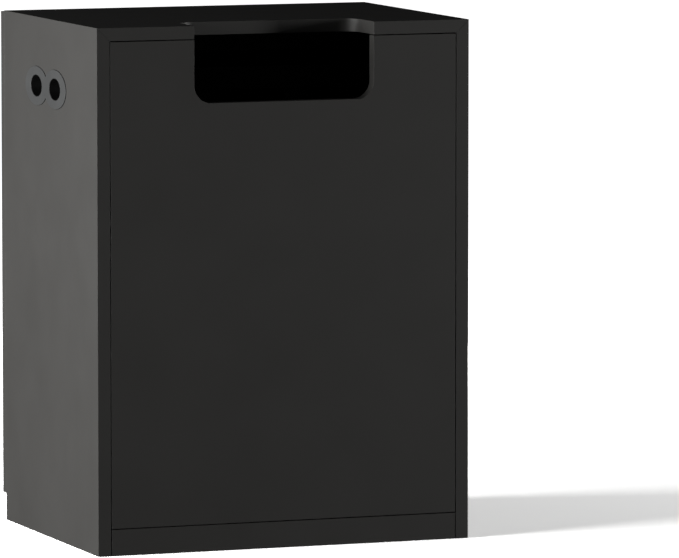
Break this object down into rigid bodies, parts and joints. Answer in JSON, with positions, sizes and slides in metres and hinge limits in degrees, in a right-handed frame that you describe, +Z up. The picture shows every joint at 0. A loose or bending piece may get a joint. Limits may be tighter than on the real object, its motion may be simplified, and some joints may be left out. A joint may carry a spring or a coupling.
{
  "type": "trash compactor",
  "caption": "Free-standing black board cabinet with a pull-out drawer, an open hand notch in its top front edge, oval side vents and a twin-screw ram inside.",
  "frame": {"origin": "centre of the footprint, on the floor", "axes": "+Z up, front with the drawer facing -Y, +X to the viewer's right"},
  "size_m": [0.6012, 0.467, 0.8],
  "materials": {
    "board": "matte black laminated board, fine pebble grain, thin edge banding",
    "trim": "black moulded trim, fine spark texture",
    "housing_plastic": "black moulded plastic",
    "lead_sheath": "black flexible sheath",
    "charcoal": "black plastic grid filled with charcoal granules",
    "frame_paint": "dark grey powder coat",
    "zinc": "zinc plated",
    "machined_steel": "oiled machined steel",
    "bronze": "sintered bronze",
    "bin_plastic": "dark grey moulded polypropylene",
    "motor_paint": "black enamel",
    "gearbox_alloy": "die-cast, shot blasted",
    "button_green": "green moulded cap",
    "button_red": "red moulded cap"
  },
  "bodies": {
    "cabinet": {"back_panel": "board", "base_plate": "frame_paint", "bottom_panel": "board", "control_box": "housing_plastic", "control_console": "housing_plastic", "control_lead": "lead_sheath", "drive_chain": "machined_steel", "filter_cartridge": "charcoal", "filter_housing": "housing_plastic", "front_plinth_rail": "board", "gearbox": "gearbox_alloy", "left_front_post": "frame_paint", "left_lower_bearing": "zinc", "left_outer_slide": "zinc", "left_rear_post": "frame_paint", "left_side_panel": "board", "left_top_rail": "frame_paint", "left_upper_bearing": "zinc", "limit_sensors": "zinc", "mains_inlet": "housing_plastic", "mains_lead": "lead_sheath", "motor": "motor_paint", "motor_bracket": "frame_paint", "motor_lead": "lead_sheath", "port_surround": "trim", "rear_plinth_rail": "board", "right_front_post": "frame_paint", "right_lower_bearing": "zinc", "right_outer_slide": "zinc", "right_rear_post": "frame_paint", "right_side_panel": "board", "right_top_rail": "frame_paint", "right_upper_bearing": "zinc", "top_crossmember": "frame_paint", "top_panel": "board"},
    "drawer": {"drawer_front": "board", "drawer_carrier": "frame_paint", "container": "bin_plastic", "bag_retainer": "housing_plastic", "left_front_stiffener": "frame_paint", "right_front_stiffener": "frame_paint", "left_inner_slide": "zinc", "right_inner_slide": "zinc"},
    "slide_middles": {"left_middle_slide": "zinc", "right_middle_slide": "zinc"},
    "ram": {"ram_plate": "zinc", "ram_beam": "frame_paint", "left_ram_leg": "frame_paint", "right_ram_leg": "frame_paint", "left_power_nut": "bronze", "right_power_nut": "bronze"},
    "left_screw": {"left_power_screw": "machined_steel", "left_screw_sprocket": "machined_steel"},
    "right_screw": {"right_power_screw": "machined_steel", "right_screw_sprocket": "machined_steel"},
    "motor_spindle": {"motor_shaft": "machined_steel", "motor_sprocket": "machined_steel"},
    "start_button": {"start_button": "button_green"},
    "stop_button": {"stop_button": "button_red"},
    "key_barrel": {"key_switch": "zinc"}
  },
  "joints": [
    {"name": "drawer_slide", "type": "slide", "parent": "cabinet", "child": "drawer", "axis": [0, -1, 0], "range_m": [0, 0.34]},
    {"name": "middle_slide", "type": "slide", "parent": "cabinet", "child": "slide_middles", "axis": [0, -1, 0], "range_m": [0, 0.17]},
    {"name": "ram_slide", "type": "slide", "parent": "cabinet", "child": "ram", "axis": [0, 0, 1], "range_m": [-0.205, 0]},
    {"name": "left_screw_spin", "type": "hinge", "parent": "cabinet", "child": "left_screw", "pos_m": [-0.2354, -0.0469, 0.05], "axis": [0, 0, 1], "range_deg": [0, 7400]},
    {"name": "right_screw_spin", "type": "hinge", "parent": "cabinet", "child": "right_screw", "pos_m": [0.2366, -0.0469, 0.05], "axis": [0, 0, 1], "range_deg": [0, 7400]},
    {"name": "motor_spin", "type": "hinge", "parent": "cabinet", "child": "motor_spindle", "pos_m": [0.0006, 0.1665, 0.05], "axis": [0, 0, 1], "range_deg": [0, 14800]},
    {"name": "start_press", "type": "slide", "parent": "cabinet", "child": "start_button", "axis": [-1, 0, 0], "range_m": [0, 0.0025], "stiffness_N_per_m": 300},
    {"name": "stop_press", "type": "slide", "parent": "cabinet", "child": "stop_button", "axis": [-1, 0, 0], "range_m": [0, 0.0025], "stiffness_N_per_m": 300},
    {"name": "key_turn", "type": "hinge", "parent": "cabinet", "child": "key_barrel", "pos_m": [-0.1514, -0.1585, 0.7577], "axis": [1, 0, 0], "range_deg": [0, 90]}
  ],
  "couplings": [
    {"joint": "middle_slide", "follows": "drawer_slide", "ratio": 0.5},
    {"joint": "left_screw_spin", "follows": "ram_slide", "rad_per_m": -628.32},
    {"joint": "right_screw_spin", "follows": "ram_slide", "rad_per_m": -628.32},
    {"joint": "motor_spin", "follows": "ram_slide", "rad_per_m": -1256.6}
  ]
}
